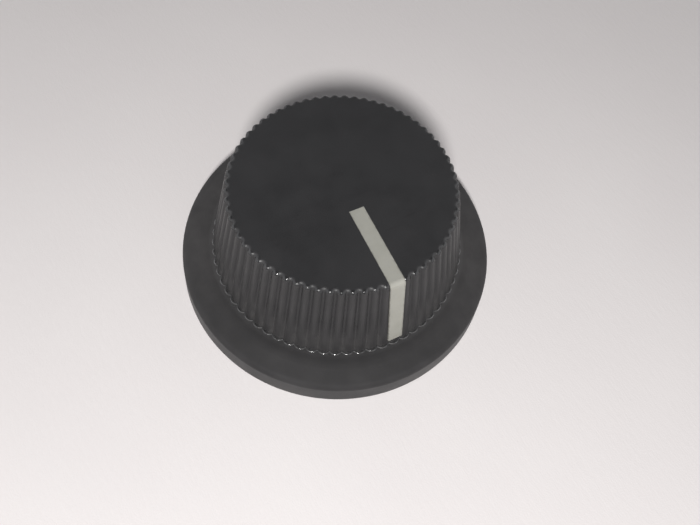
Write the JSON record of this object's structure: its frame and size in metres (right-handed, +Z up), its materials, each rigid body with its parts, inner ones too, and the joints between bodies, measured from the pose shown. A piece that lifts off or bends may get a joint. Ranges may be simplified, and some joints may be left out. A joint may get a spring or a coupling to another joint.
{
  "type": "control knob",
  "caption": "Round skirted control knob with a finely ridged tapered grip and a pointer line, clamped on a plain shaft by a set screw.",
  "frame": {"origin": "centre of the skirt's underside, on the shaft's axis", "axes": "+Z up along the shaft to the top of the grip, -Y towards the pointer line"},
  "size_m": [0.03, 0.03, 0.0122],
  "materials": {
    "black_plastic": "satin moulded thermoset plastic",
    "white_plastic": "satin off-white plastic",
    "brass": "turned",
    "zinc_plated_steel": "zinc plated"
  },
  "bodies": {
    "knob": {"knob_body": "black_plastic", "pointer_line": "white_plastic", "shaft_bushing": "brass"},
    "set_screw": {"set_screw": "zinc_plated_steel"}
  },
  "joints": [
    {"name": "set_screw_drive", "type": "slide", "parent": "knob", "child": "set_screw", "axis": [0, -1, 0], "range_m": [-0.0008, 0.0015]}
  ]
}
